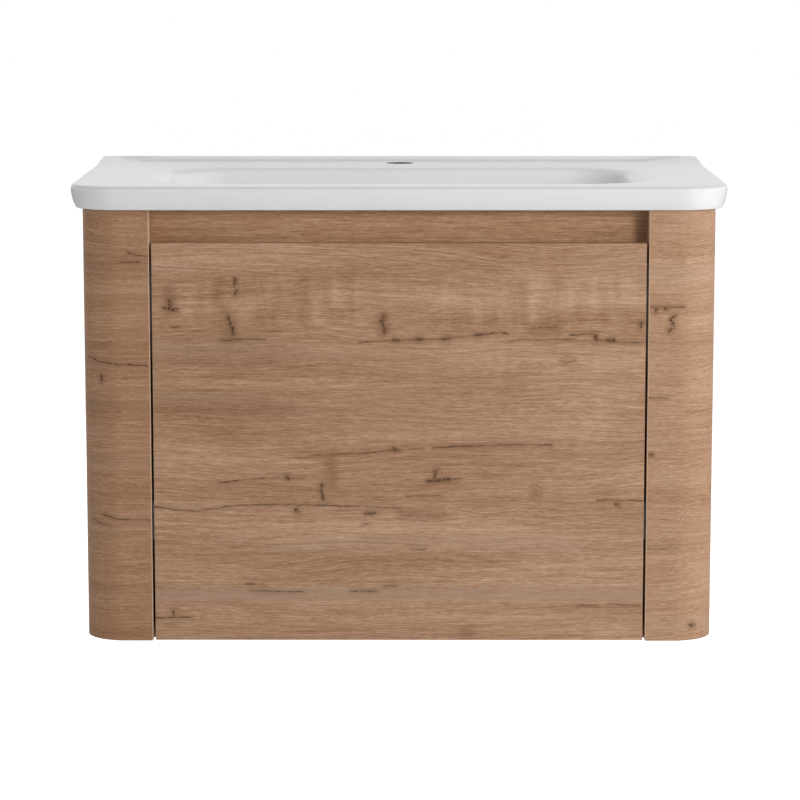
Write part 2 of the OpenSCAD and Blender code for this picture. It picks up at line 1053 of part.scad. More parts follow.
// ---------- nodes ----------

side_panel(-1);  // left_side_panel
side_panel(1);  // right_side_panel
inner_side(-1);  // left_inner_side
inner_side(1);  // right_inner_side
battens(-1);  // left_battens
battens(1);  // right_battens
bottom_panel();
recess_rail();
rear_top_rail();
rear_bottom_rail();
carcass_dowels();
carcass_screws();
front_bumpers();
basin();
basin_seal();
overflow_ring();
wall_plate(-1);  // left_wall_plate
wall_plate(1);  // right_wall_plate
hanger_body(-1);  // left_hanger_body
hanger_body(1);  // right_hanger_body
hanger_hook(-1);  // left_hanger_hook
hanger_hook(1);  // right_hanger_hook
height_adjusting_screws();
depth_adjusting_screws();
hanger_screws();
hanger_cap(-1);  // left_hanger_cap
hanger_cap(1);  // right_hanger_cap
cabinet_rail(-1);  // left_cabinet_rail
cabinet_rail(1);  // right_cabinet_rail
cabinet_rail_screws();
outer_ball_cage(-1);  // left_outer_ball_cage
outer_ball_cage(1);  // right_outer_ball_cage
middle_rail(-1);  // left_middle_rail
middle_rail(1);  // right_middle_rail
inner_ball_cage(-1);  // left_inner_ball_cage
inner_ball_cage(1);  // right_inner_ball_cage
drawer_rail(-1);  // left_drawer_rail
drawer_rail(1);  // right_drawer_rail
drawer_rail_screws();
drawer_front();
drawer_inner_front();
drawer_side(-1);  // drawer_left_side
drawer_side(1);  // drawer_right_side
drawer_back(-1);  // drawer_left_back
drawer_back(1);  // drawer_right_back
drawer_bottom();
trap_cutout_side(-1);  // trap_cutout_left
trap_cutout_side(1);  // trap_cutout_right
trap_cutout_front();
drawer_front_screws();
drawer_box_screws();
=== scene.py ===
import json
import math
from contextlib import contextmanager
import bmesh
import bpy
import numpy as np
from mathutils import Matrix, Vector

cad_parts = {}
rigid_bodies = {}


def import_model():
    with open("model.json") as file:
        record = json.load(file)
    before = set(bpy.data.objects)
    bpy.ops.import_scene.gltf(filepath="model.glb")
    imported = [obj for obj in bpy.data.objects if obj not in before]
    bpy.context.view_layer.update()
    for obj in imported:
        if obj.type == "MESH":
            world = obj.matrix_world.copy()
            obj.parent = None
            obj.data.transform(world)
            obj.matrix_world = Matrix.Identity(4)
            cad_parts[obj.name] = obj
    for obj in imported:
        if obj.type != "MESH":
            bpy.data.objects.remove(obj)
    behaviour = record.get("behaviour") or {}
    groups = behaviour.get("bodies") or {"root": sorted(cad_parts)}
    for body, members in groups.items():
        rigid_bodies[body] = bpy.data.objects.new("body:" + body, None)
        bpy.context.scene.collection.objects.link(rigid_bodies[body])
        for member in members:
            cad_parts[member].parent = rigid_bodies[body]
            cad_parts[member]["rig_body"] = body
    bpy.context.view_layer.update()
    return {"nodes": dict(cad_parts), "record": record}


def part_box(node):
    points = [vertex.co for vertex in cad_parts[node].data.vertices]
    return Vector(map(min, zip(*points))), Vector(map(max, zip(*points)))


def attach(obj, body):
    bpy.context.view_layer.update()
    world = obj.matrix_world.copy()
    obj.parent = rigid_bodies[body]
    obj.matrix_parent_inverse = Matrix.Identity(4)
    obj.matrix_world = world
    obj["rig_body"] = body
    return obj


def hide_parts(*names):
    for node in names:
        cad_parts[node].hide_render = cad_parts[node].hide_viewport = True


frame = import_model()

MM = 0.001
# Where the tap hole is, in millimetres; the wall is at 0
TAP_Y = -60


# ---------- writing node trees as expressions ----------

class Tree:
    """A node tree written as expressions; every method returns an output socket."""

    def __init__(self, tree):
        self.tree = tree

    def feed(self, socket, value):
        if isinstance(value, bpy.types.NodeSocket):
            self.tree.links.new(value, socket)
        else:
            socket.default_value = value

    def node(self, kind, inputs=None, **settings):
        made = self.tree.nodes.new(kind)
        for name, value in settings.items():
            setattr(made, name, value)
        for name, value in (inputs or {}).items():
            self.feed(made.inputs[name], value)
        return made

    def math(self, operation, a, b=0.0, clamp=False):
        return self.node("ShaderNodeMath", {0: a, 1: b}, operation=operation, use_clamp=clamp).outputs[0]

    def add(self, a, b):
        return self.math("ADD", a, b)

    def times(self, a, b):
        return self.math("MULTIPLY", a, b)

    def most(self, a, b):
        return self.math("MAXIMUM", a, b)

    def gap(self, a, b):
        """How far apart two values are."""
        return self.math("ABSOLUTE", self.math("SUBTRACT", a, b))

    def vector(self, operation, a, b):
        return self.node("ShaderNodeVectorMath", {0: a, 1: b}, operation=operation).outputs[0]

    def scaled(self, a, scale):
        return self.vector("MULTIPLY", a, scale)

    def spread(self, a, x, y, z):
        """The point for a noise whose features are about as long as these lengths."""
        return self.scaled(a, (1 / x, 1 / y, 1 / z))

    def dot(self, a, b):
        return self.node("ShaderNodeVectorMath", {0: a, 1: b}, operation="DOT_PRODUCT").outputs["Value"]

    def split(self, a):
        return self.node("ShaderNodeSeparateXYZ", {0: a}).outputs

    def join(self, x, y, z=0.0):
        return self.node("ShaderNodeCombineXYZ", {0: x, 1: y, 2: z}).outputs[0]

    def noise(self, point, detail=2.0, roughness=0.5):
        """Noise between 0 and 1 with its middle at 0.5."""
        inputs = {"Vector": point, "Scale": 1.0, "Detail": detail, "Roughness": roughness}
        return self.node("ShaderNodeTexNoise", inputs).outputs[0]

    def swing(self, point, size, detail=2.0, roughness=0.5):
        """Noise from about -size to +size."""
        level = self.math("SUBTRACT", self.noise(point, detail, roughness), 0.5)
        return self.times(level, 2 * size)

    def step(self, value, low, high, to_low=0.0, to_high=1.0):
        """A smooth step from to_low at low to to_high at high."""
        inputs = {"Value": value, "From Min": low, "From Max": high, "To Min": to_low, "To Max": to_high}
        return self.node("ShaderNodeMapRange", inputs, interpolation_type="SMOOTHSTEP").outputs[0]

    def ramp(self, value, stops):
        made = self.node("ShaderNodeValToRGB", {0: value})
        bar = made.color_ramp.elements
        while len(bar) < len(stops):
            bar.new(0.5)
        for element, (place, colour) in zip(bar, stops):
            element.position = place
            element.color = (*colour, 1)
        return made.outputs[0]

    def mix(self, share, a, b, blend="MIX"):
        made = self.node("ShaderNodeMix", data_type="RGBA", blend_type=blend)
        for name, value in (("Factor", share), ("A", a), ("B", b)):
            socket = [s for s in made.inputs if s.name == name and s.enabled][0]
            self.feed(socket, (*value, 1) if isinstance(value, tuple) else value)
        return [s for s in made.outputs if s.enabled][0]

    def attribute(self, name):
        return self.node("ShaderNodeAttribute", attribute_name=name).outputs["Vector"]

    def place(self):
        """The piece's own coordinates in metres, which don't move with the joints."""
        return self.node("ShaderNodeTexCoord").outputs["Object"]


def srgb(red, green, blue):
    """A colour given from 0 to 255 as it is shown, in the renderer's linear numbers."""
    def level(v):
        v /= 255
        return v / 12.92 if v <= 0.04045 else ((v + 0.055) / 1.055) ** 2.4
    return level(red), level(green), level(blue)


def surface(name, build):
    """A material: build(tree) returns the shader's inputs, and "Bump" as (height socket, distance)."""
    made = bpy.data.materials.new(name)
    made.use_nodes = True
    made.node_tree.nodes.clear()
    tree = Tree(made.node_tree)
    inputs = build(tree)
    bump = inputs.pop("Bump", None)
    shader = tree.node("ShaderNodeBsdfPrincipled")
    if bump:
        inputs["Normal"] = tree.node("ShaderNodeBump", {"Height": bump[0], "Distance": bump[1],
                                                        "Strength": 1.0}).outputs[0]
    for key, value in inputs.items():
        tree.feed(shader.inputs[key], value)
    output = tree.node("ShaderNodeOutputMaterial")
    tree.feed(output.inputs["Surface"], shader.outputs[0])
    made.diffuse_color = (0.6, 0.6, 0.6, 1)
    return made


# ---------- oak-look foil ----------

OAK_DARK = srgb(126, 90, 63)
OAK = srgb(164, 128, 100)
OAK_LIGHT = srgb(194, 163, 137)
OAK_CRACK = srgb(76, 54, 40)
OAK_SMOKE = srgb(126, 93, 68)

# Marks of the foil's print on the drawer front, as lines through points in millimetres:
# (to the right of the front's middle, above the origin)
FRONT_CRACKS = [
    [(-50, -103), (2, -100), (51, -99), (92, -94), (125, -91), (135, -92)],
    [(-218, -100), (-165, -99)],
    [(135, -102), (149, -99), (170, -100), (217, -99)],
    [(209, -94), (238, -92), (243, -100), (301, -104)],
    [(199, -126), (207, -128), (217, -126)],
    [(-109, -243), (-97, -243)],
    [(-81, -242), (-38, -241), (-17, -238), (2, -237)],
    [(-223, -278), (-175, -273), (-118, -272)],
    [(-307, -308), (-280, -312), (-251, -314), (-214, -308), (-190, -306), (-122, -306),
     (-42, -308), (2, -310)],
    [(-303, -449), (-257, -448)],
    [(42, -234), (88, -232), (149, -230), (189, -231)],
    [(246, -300), (301, -300)],
    [(223, -433), (246, -433)],
    [(258, -431), (301, -433)],
    [(-190, -406), (-169, -406)],
    [(10, -295), (51, -294)],
    [(16, -362), (32, -362)],
    [(-278, -84), (-268, -84)],
    [(-45, -330), (-38, -330)],
    [(34, -276), (76, -273)],
    [(165, -85), (192, -84)],
    [(-183, -414), (-118, -416)], [(-60, -415), (-27, -415)], [(-19, -408), (-2, -408)],
]
FRONT_KNOTS = [
    [(-201, -25), (-201, -33)], [(-199, -38), (-201, -44)],
    [(-287, -61), (-273, -63)], [(-281, -52), (-281, -60)],
    [(-18, -71), (-22, -78)], [(-22, -78), (-17, -86)], [(-17, -86), (-19, -91)],
    [(-95, -280), (-96, -289)], [(-96, -289), (-93, -299)],
    [(46, -262), (44, -272)], [(37, -276), (61, -274)],
    [(297, -78), (297, -84)], [(-281, -441), (-280, -444)], [(-127, -312), (-125, -314)],
    [(-40, -317), (-31, -316)], [(270, -305), (272, -306)], [(-209, -72), (-203, -93)],
    [(22, -99), (26, -99)], [(55, -99), (61, -98)], [(96, -94), (102, -93)],
    [(-7, -100), (-1, -100)], [(241, -95), (241, -100)], [(257, -101), (263, -100)],
    [(-138, -273), (-138, -270)], [(-7, -235), (-5, -237)],
]
FRONT_SMOKE = [
    [(-281, -36), (-281, -60)], [(-207, -70), (-207, -99)], [(-85, -246), (-84, -276)],
    [(161, -86), (194, -86)], [(6, -319), (52, -319)], [(83, -468), (87, -468)],
    [(-20, -74), (-18, -88)], [(170, -286), (170, -292)],
]
FRONT_LINES = [
    [(-307, -9), (-251, -12), (-196, -15), (-122, -22)],
    [(-66, 15), (2, 13), (63, 7), (135, -7)],
    [(-180, 8), (-60, 4), (10, -3), (60, -10)],
    [(-7, -322), (39, -327), (82, -322), (125, -319), (162, -320), (199, -324), (248, -330),
     (297, -333)],
    [(60, -309), (104, -318), (150, -313), (186, -322), (240, -318), (300, -324)],
    [(-230, -352), (-140, -356), (-60, -352), (40, -357)],
    [(154, -296), (156, -287), (163, -281), (172, -281), (178, -287)],
]
# Fields of upright figure: (middle along, half length, height)
FRONT_FIGURE = [(-160, 120, -50), (165, 125, -54)]
# Broad soft fields, lighter or darker: (middle along, middle across, half length, half height, change)
FRONT_TONES = [
    (160, -40, 190, 34, 0.11), (-215, -150, 120, 62, -0.10), (0, -350, 250, 20, 0.08),
    (-70, -238, 110, 16, -0.09), (250, -150, 70, 50, 0.06), (40, 5, 170, 18, -0.06),
]
# On the side panels the first number runs round the corner from the panel's inner edge
LEFT_CRACKS = [
    [(27, 7), (2, 3)], [(34, -4), (12, -4)], [(85, -124), (64, -128), (40, -130), (3, -132)],
    [(62, -319), (44, -324), (3, -325)], [(81, -327), (53, -333)],
]
LEFT_KNOTS = [[(62, -147), (62, -152)], [(190, -210), (186, -219)]]
RIGHT_CRACKS = [[(1, -59), (44, -59)], [(1, -172), (26, -172)], [(1, -361), (41, -361)]]
RIGHT_KNOTS = [
    [(9, -61), (9, -66)], [(19, -61), (22, -61)], [(32, -70), (27, -76)], [(27, -76), (31, -83)],
    [(31, -83), (26, -89)], [(4, -243), (6, -243)], [(58, -459), (63, -459)], [(200, -300), (204, -309)],
]
RIGHT_LINES = [[(4, -361), (35, -336), (53, -309), (68, -305)]]
# Height of the front's greyer band
FRONT_GREY = -419
# Farther than any point of the board is from a mark
FAR_AWAY = 1000.0


def line_group():
    """One line of a chain: the point's z carries the smallest distance to a line found so far."""
    group = bpy.data.node_groups.new("line", "ShaderNodeTree")
    for name in ("Point", "Start", "End"):
        group.interface.new_socket(name, in_out="INPUT", socket_type="NodeSocketVector")
    group.interface.new_socket("Point", in_out="OUTPUT", socket_type="NodeSocketVector")
    tree = Tree(group)
    given = tree.node("NodeGroupInput").outputs
    x, y, before = tree.split(given["Point"])
    span = tree.vector("SUBTRACT", given["End"], given["Start"])
    away = tree.scaled(tree.vector("SUBTRACT", given["Point"], given["Start"]), (1, 1, 0))
    share = tree.math("DIVIDE", tree.dot(away, span), tree.dot(span, span), clamp=True)
    offset = tree.vector("SUBTRACT", away, tree.scaled(span, tree.join(share, share, share)))
    distance = tree.math("SQRT", tree.dot(offset, offset))
    passed = tree.join(x, y, tree.math("MINIMUM", before, distance))
    tree.feed(tree.node("NodeGroupOutput").inputs[0], passed)
    return group


LINE = line_group()


def nearest(tree, x, y, lines):
    """The distance from (x, y) to the nearest of these lines."""
    point = tree.join(x, y, FAR_AWAY)
    for line in lines:
        for start, end in zip(line, line[1:]):
            inputs = {"Point": point, "Start": (*start, 0), "End": (*end, 0)}
            point = tree.node("ShaderNodeGroup", inputs, node_tree=LINE).outputs[0]
    return tree.split(point)[2]


def oak(cracks=(), knots=(), smoke=(), lines=(), figure=(), tones=(), grey=None, edge_band_and_highlight=False,
        shade=(1, 1, 1)):
    """Matt printed oak foil.

    The board's "grain" attribute is (along, across, through) in metres; lengths here are millimetres.
    """
    def build(tree):
        grain = tree.scaled(tree.attribute("grain"), (1000, 1000, 1000))
        along, across, through = tree.split(grain)

        # growth lines that wander up and down, and fine level streaks
        wander = tree.swing(tree.spread(grain, 300, 80, 90), 15, 1)
        ripple = tree.swing(tree.spread(grain, 50, 26, 60), 0.9, 1)
        flow = tree.join(along, tree.add(tree.add(across, wander), ripple), through)
        broad = tree.swing(tree.spread(flow, 330, 40, 46), 0.26, 1)
        growth = tree.swing(tree.spread(flow, 260, 5.2, 9), 0.20, 2, 0.55)
        streak = tree.swing(tree.spread(flow, 46, 1.6, 4), 0.32, 1)
        fine = tree.swing(tree.spread(flow, 9, 1.1, 2), 0.34, 1)
        tone = tree.add(tree.add(broad, growth), tree.add(streak, fine))

        # upright figure, in patches and in listed fields
        patch = tree.step(tree.noise(tree.spread(grain, 75, 48, 60), 1), 0.54, 0.74, 0, 0.45)
        for middle, half, height in figure:
            beside = tree.step(tree.gap(along, middle), half - 22, half + 22, 1, 0)
            field = tree.times(beside, tree.step(tree.gap(across, height), 22, 40, 1, 0))
            patch = tree.most(patch, field)
        upright = tree.add(tree.swing(tree.spread(grain, 3.2, 18, 20), 0.08, 1),
                           tree.swing(tree.spread(grain, 24, 74, 20), 0.34, 1))
        tone = tree.add(tone, tree.times(upright, patch))

        # broad lighter and darker fields
        for x, y, half_x, half_y, change in tones:
            away = tree.scaled(tree.vector("SUBTRACT", grain, (x, y, 0)), (1 / half_x, 1 / half_y, 0))
            tone = tree.add(tone, tree.step(tree.dot(away, away), 0.05, 1.4, change, 0))
        tone = tree.math("ADD", tone, 0.5, clamp=True)
        colour = tree.ramp(tone, [(0.08, OAK_DARK), (0.5, OAK), (0.92, OAK_LIGHT)])

        # short dark pores
        pores = tree.noise(tree.spread(flow, 11, 1.1, 2), 1)
        pores = tree.step(pores, 0.64, 0.78, 0, 0.5)
        colour = tree.mix(pores, colour, OAK_DARK)

        # slightly greyer bands where the timber was cooler
        cool = tree.step(tree.noise(tree.spread(flow, 600, 34, 90), 1), 0.56, 0.70, 0, 0.26)
        if grey is not None:
            away = tree.gap(across, grey)
            fleck = tree.step(tree.noise(tree.spread(grain, 7, 1.6, 1), 1), 0.35, 0.62, 0.25, 1)
            cool = tree.most(cool, tree.times(tree.step(away, 4, 12, 0.9, 0), fleck))
        colour = tree.mix(cool, colour, srgb(160, 134, 114))

        # listed cracks, knots and smoke, broken up by the grain
        x = tree.add(along, tree.swing(tree.spread(grain, 4, 4, 7), 4.0, 2))
        y = tree.add(across, tree.swing(tree.spread(grain, 11, 4, 7), 2.0, 3, 0.6))
        broken = tree.step(tree.noise(tree.spread(grain, 8, 2.4, 3), 2), 0.34, 0.56, 0.55, 1)
        if smoke:
            haze = tree.step(nearest(tree, x, y, smoke), 0.5, 15, 0.60, 0.0)
            colour = tree.mix(tree.times(haze, broken), colour, OAK_SMOKE)
        if lines:
            away = nearest(tree, x, y, lines)
            colour = tree.mix(tree.step(away, 1.0, 5.0, 0.22, 0.0), colour, OAK_LIGHT)
            colour = tree.mix(tree.times(tree.step(away, 0.2, 1.9, 0.55, 0.0), broken), colour, OAK_SMOKE)
        if cracks:
            away = nearest(tree, x, y, cracks)
            colour = tree.mix(tree.step(away, 0.2, 6.5, 0.34, 0.0), colour, OAK_SMOKE)
            depth = tree.step(tree.noise(tree.spread(grain, 34, 20, 1), 1), 0.40, 0.60, 0.55, 1)
            core = tree.times(tree.step(away, 0.15, 1.1, 1.0, 0.0), tree.times(depth, broken))
            colour = tree.mix(core, colour, OAK_CRACK)
        if knots:
            away = nearest(tree, x, y, knots)
            colour = tree.mix(tree.step(away, 0.5, 9, 0.60, 0.0), colour, OAK_SMOKE)
            scribble = tree.noise(tree.spread(grain, 2.6, 2.2, 1), 1)
            scribble = tree.step(scribble, 0.42, 0.56, 0.12, 1)
            core = tree.step(away, 0.9, 3.0, 1.0, 0.0)
            colour = tree.mix(tree.times(core, scribble), colour, OAK_CRACK)
        # shade scales the colour to paint light (above 1) and shade (below 1) into lit and shaded copies of
        # the foil
        colour = tree.scaled(colour, shade)
        # a lighter edge band at the panel's inner edge, partly a painted highlight
        if edge_band_and_highlight:
            strip = tree.step(along, 0.7, 1.3, 0.7, 0.0)
            colour = tree.mix(strip, colour, srgb(205, 176, 150))

        relief = tree.math("SUBTRACT", tone, pores)
        rough = tree.step(tone, 0.0, 1.0, 0.60, 0.47)
        return {"Base Color": colour, "Roughness": rough, "Specular IOR Level": 0.22,
                "Bump": (relief, 0.00006)}
    return build


# ---------- the other materials ----------

def ceramic(tree):
    """White glazed ceramic with a painted shade line along the rim's rounding; the tap hole's wall is rough,
    unglazed and darkened by painted shade.
    """
    place = tree.place()
    pooling = tree.swing(tree.scaled(place, (6, 9, 14)), 0.5, 2)
    fine = tree.swing(tree.scaled(place, (60, 60, 60)), 0.5, 2)
    share = tree.add(0.5, tree.add(pooling, tree.times(fine, 0.25)))
    colour = tree.ramp(share, [(0.1, (0.720, 0.721, 0.722)), (0.9, (0.756, 0.755, 0.754))])
    rim_shade = tree.node("ShaderNodeAttribute", attribute_name="rim_painted_shade").outputs["Fac"]
    # painted shade: a darker grey line along the rim's rounding
    colour = tree.mix(tree.times(rim_shade, 0.7), colour, (0.55, 0.555, 0.56))
    x, y, z = tree.split(place)
    y = tree.add(y, -TAP_Y * MM)
    radius = tree.math("SQRT", tree.add(tree.times(x, x), tree.times(y, y)))
    # the tap hole's wall: rough and unglazed, and darkened by painted shade
    unglazed_shaded_hole = tree.times(tree.step(radius, 0.0180, 0.0183, 1.0, 0.0), tree.step(z, 0.070, 0.072))
    speck = tree.noise(tree.scaled(place, (900, 900, 900)), 2)
    # painted shade: dark grey-brown for the hole's wall
    hole_shade_colour = tree.ramp(speck, [(0.35, (0.13, 0.125, 0.118)), (0.65, (0.20, 0.19, 0.18))])
    colour = tree.mix(unglazed_shaded_hole, colour, hole_shade_colour)
    wave = tree.noise(tree.scaled(place, (14, 14, 14)), 1)
    return {"Base Color": colour, "Roughness": tree.step(unglazed_shaded_hole, 0.0, 1.0, 0.20, 0.85),
            "Specular IOR Level": 0.42, "Bump": (wave, 0.00001)}


def linen_board(tree):
    """Grey linen-look melamine on the drawer box."""
    place = tree.place()
    weft = tree.noise(tree.scaled(place, (40, 1500, 1500)), 2)
    warp = tree.noise(tree.scaled(place, (1500, 40, 60)), 2)
    weave = tree.times(tree.add(weft, warp), 0.5)
    cloud = tree.swing(tree.scaled(place, (12, 12, 12)), 0.12, 2)
    tone = tree.add(weave, cloud)
    colour = tree.ramp(tone, [(0.32, srgb(126, 125, 121)), (0.5, srgb(146, 145, 141)),
                              (0.68, srgb(164, 163, 158))])
    return {"Base Color": colour, "Roughness": 0.55, "Specular IOR Level": 0.35,
            "Bump": (weave, 0.00012)}


def beech(tree):
    place = tree.place()
    aside = tree.swing(tree.scaled(place, (9, 9, 4)), 0.006)
    back = tree.swing(tree.scaled(place, (7, 9, 4)), 0.006)
    wander = tree.vector("ADD", place, tree.join(aside, back))
    grain = tree.noise(tree.scaled(wander, (420, 420, 16)), 3, 0.6)
    flecks = tree.step(tree.noise(tree.scaled(place, (900, 900, 160)), 1), 0.62, 0.72, 0, 0.5)
    colour = tree.ramp(grain, [(0.3, srgb(190, 152, 112)), (0.5, srgb(212, 178, 138)),
                               (0.72, srgb(226, 196, 158))])
    colour = tree.mix(flecks, colour, srgb(150, 108, 72))
    return {"Base Color": colour, "Roughness": 0.62, "Specular IOR Level": 0.3,
            "Bump": (tree.math("SUBTRACT", grain, flecks), 0.0002)}


def silicone(tree):
    place = tree.place()
    drag = tree.noise(tree.scaled(place, (260, 40, 260)), 2)
    colour = tree.ramp(drag, [(0.3, srgb(214, 216, 213)), (0.7, srgb(232, 233, 230))])
    return {"Base Color": colour, "Roughness": 0.34, "Subsurface Weight": 0.3,
            "Subsurface Radius": (0.002, 0.002, 0.002), "Subsurface Scale": 1.0,
            "Bump": (drag, 0.0004)}


def clear_bumper(tree):
    place = tree.place()
    haze = tree.noise(tree.scaled(place, (700, 700, 700)), 2)
    colour = tree.ramp(haze, [(0.3, srgb(205, 207, 205)), (0.7, srgb(230, 232, 230))])
    return {"Base Color": colour, "Roughness": tree.step(haze, 0.3, 0.7, 0.22, 0.42),
            "Transmission Weight": 0.55, "IOR": 1.45, "Bump": (haze, 0.0001)}


def metal(dark, light, rough_low, rough_high, grain, bump):
    """A metal whose tone and gloss vary with a fine grain and broad stains."""
    def build(tree):
        place = tree.place()
        fine = tree.noise(tree.scaled(place, (grain, grain, grain)), 3, 0.6)
        stain = tree.noise(tree.scaled(place, (26, 26, 26)), 3)
        tone = tree.add(tree.times(fine, 0.6), tree.times(stain, 0.4))
        return {"Base Color": tree.ramp(tone, [(0.34, dark), (0.66, light)]), "Metallic": 1.0,
                "Roughness": tree.step(tone, 0.3, 0.7, rough_low, rough_high), "Bump": (fine, bump)}
    return build


def spangle(tree):
    """Zinc-plated strip with faint crystals and rolling marks."""
    place = tree.place()
    cells = tree.node("ShaderNodeTexVoronoi", {"Vector": tree.scaled(place, (170, 170, 170)), "Scale": 1.0})
    crystal = tree.split(cells.outputs["Color"])[0]
    rolled = tree.noise(tree.scaled(place, (1300, 25, 1300)), 2)
    tone = tree.add(tree.times(crystal, 0.35), tree.times(rolled, 0.65))
    colour = tree.ramp(tone, [(0.2, srgb(160, 164, 168)), (0.8, srgb(204, 208, 212))])
    return {"Base Color": colour, "Metallic": 1.0, "Roughness": tree.step(tone, 0.1, 0.9, 0.26, 0.42),
            "Bump": (rolled, 0.00004)}


def cap_plastic(tree):
    place = tree.place()
    texture = tree.noise(tree.scaled(place, (1100, 1100, 1100)), 2)
    cloud = tree.noise(tree.scaled(place, (50, 50, 50)), 2)
    colour = tree.ramp(cloud, [(0.3, srgb(205, 206, 206)), (0.7, srgb(218, 218, 217))])
    return {"Base Color": colour, "Roughness": 0.46, "Bump": (texture, 0.00006)}


FRONT_FOIL = oak(FRONT_CRACKS, FRONT_KNOTS, FRONT_SMOKE, FRONT_LINES, FRONT_FIGURE, FRONT_TONES,
                 FRONT_GREY)
# painted shade: the left panel's foil is darkened for the side that faces away from the light
LEFT_FOIL_PAINTED_SHADE = oak(LEFT_CRACKS, LEFT_KNOTS, edge_band_and_highlight=True, shade=(0.93, 0.88, 0.83))
# painted light: the right panel's foil is lightened for the side that faces the light
RIGHT_FOIL_PAINTED_LIGHT = oak(RIGHT_CRACKS, RIGHT_KNOTS, lines=RIGHT_LINES, edge_band_and_highlight=True,
                 shade=(1.09, 1.10, 1.12))
CHROME = metal((0.78, 0.79, 0.80), (0.88, 0.885, 0.89), 0.04, 0.10, 90, 0.00002)
CASTING = metal(srgb(150, 152, 154), srgb(186, 188, 190), 0.38, 0.56, 900, 0.0001)
BALL_STEEL = metal(srgb(170, 172, 174), srgb(212, 214, 216), 0.14, 0.26, 500, 0.00003)
SCREW = metal(srgb(158, 164, 172), srgb(206, 210, 214), 0.22, 0.36, 700, 0.00004)

MATERIALS = {
    "oak_front": surface("oak_foil_front", FRONT_FOIL),
    "oak_left_painted_shade": surface("oak_foil_left_painted_shade", LEFT_FOIL_PAINTED_SHADE),
    "oak_right_painted_light": surface("oak_foil_right_painted_light", RIGHT_FOIL_PAINTED_LIGHT),
    # painted light: the rail's foil is lightened to stand in for light in its recess
    "oak_rail_painted_light": surface("oak_foil_rail_painted_light", oak(shade=(1.30, 1.26, 1.20))),
    "oak_foil": surface("oak_foil", oak()),
    "ceramic": surface("glazed_ceramic", ceramic),
    "drawer_board": surface("grey_linen_board", linen_board),
    "beech": surface("beech", beech),
    "silicone": surface("silicone", silicone),
    "clear_bumper": surface("clear_bumper", clear_bumper),
    "chrome": surface("chrome", CHROME),
    "zinc_steel": surface("zinc_steel", spangle),
    "zinc_casting": surface("zinc_casting", CASTING),
    "ball_steel": surface("ball_steel", BALL_STEEL),
    "zinc_screw": surface("zinc_screw", SCREW),
    "cap_plastic": surface("cap_plastic", cap_plastic),
}


# ---------- making pieces ----------

def settle(piece, node, material, sharp=32):
    """Puts a finished piece in place of its CAD node, on the node's body, with the given material."""
    body = frame["nodes"][node]["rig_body"]
    piece.data.materials.clear()
    piece.data.materials.append(MATERIALS[material])
    piece.data.shade_smooth()
    piece.data.set_sharp_from_angle(angle=math.radians(sharp))
    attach(piece, body)
    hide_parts(node)
    return piece


def soften(piece, width):
    """Rounds a piece's edges by a modifier."""
    bevel = piece.modifiers.new("edges", "BEVEL")
    bevel.width = width
    bevel.segments = 2
    bevel.limit_method = "ANGLE"
    bevel.angle_limit = math.radians(40)
    bevel.harden_normals = True
    bevel.use_clamp_overlap = True


def new_piece(name, verts, faces):
    mesh = bpy.data.meshes.new(name)
    mesh.from_pydata([tuple(v) for v in verts], [], faces)
    mesh.validate()
    piece = bpy.data.objects.new(name, mesh)
    bpy.context.scene.collection.objects.link(piece)
    return piece


@contextmanager
def editing(mesh):
    """Opens a mesh for bmesh's operations, and writes it back afterwards."""
    work = bmesh.new()
    work.from_mesh(mesh)
    yield work
    work.to_mesh(mesh)
    work.free()


def set_grain(piece, order, shift):
    """Writes which way the board's grain runs: order names its along, across and through axes."""
    axes = ["XYZ".index(letter) for letter in order]
    places = np.zeros(len(piece.data.vertices) * 3)
    piece.data.vertices.foreach_get("co", places)
    places = places.reshape(-1, 3)[:, axes] + np.array(shift) * MM
    made = piece.data.attributes.new("grain", "FLOAT_VECTOR", "POINT")
    made.data.foreach_set("vector", places.ravel())


def copy_of(node):
    """A welded copy of a CAD node's mesh with its flat faces joined."""
    mesh = frame["nodes"][node].data.copy()
    mesh.name = node + "_finished"
    with editing(mesh) as work:
        bmesh.ops.remove_doubles(work, verts=work.verts, dist=0.005 * MM)
        bmesh.ops.dissolve_limit(work, angle_limit=math.radians(0.4), verts=work.verts,
                                 edges=work.edges, use_dissolve_boundaries=False)
    piece = bpy.data.objects.new(mesh.name, mesh)
    bpy.context.scene.collection.objects.link(piece)
    return piece


# ---------- side panels, swept round the front corners ----------

PANEL_T = 18 * MM
CORNER_R = 50 * MM
HALF_W = 391 * MM
HALF_OPENING = 306 * MM
FRONT_Y = -445 * MM
CORNER_STEPS = 40


def panel_outline():
    """The panel's plan seen from above on the right side: (outer point, inner point, run) rows."""
    centre = Vector((HALF_W - CORNER_R, FRONT_Y + CORNER_R))
    rows = []
    flat = centre.x - HALF_OPENING
    for share in (0, 0.02, 0.5, 1):
        x = HALF_OPENING + flat * share
        rows.append(((x, FRONT_Y), (x, FRONT_Y + PANEL_T), flat * share))
    for step in range(1, CORNER_STEPS + 1):
        a = math.pi / 2 * step / CORNER_STEPS
        way = Vector((math.sin(a), -math.cos(a)))
        outer, inner = centre + way * CORNER_R, centre + way * (CORNER_R - PANEL_T)
        rows.append((tuple(outer), tuple(inner), flat + CORNER_R * a))
    run = flat + CORNER_R * math.pi / 2
    for share in (0.33, 0.66, 1):
        y = centre.y * (1 - share)
        rows.append(((HALF_W, y), (HALF_W - PANEL_T, y), run - centre.y * share))
    return rows


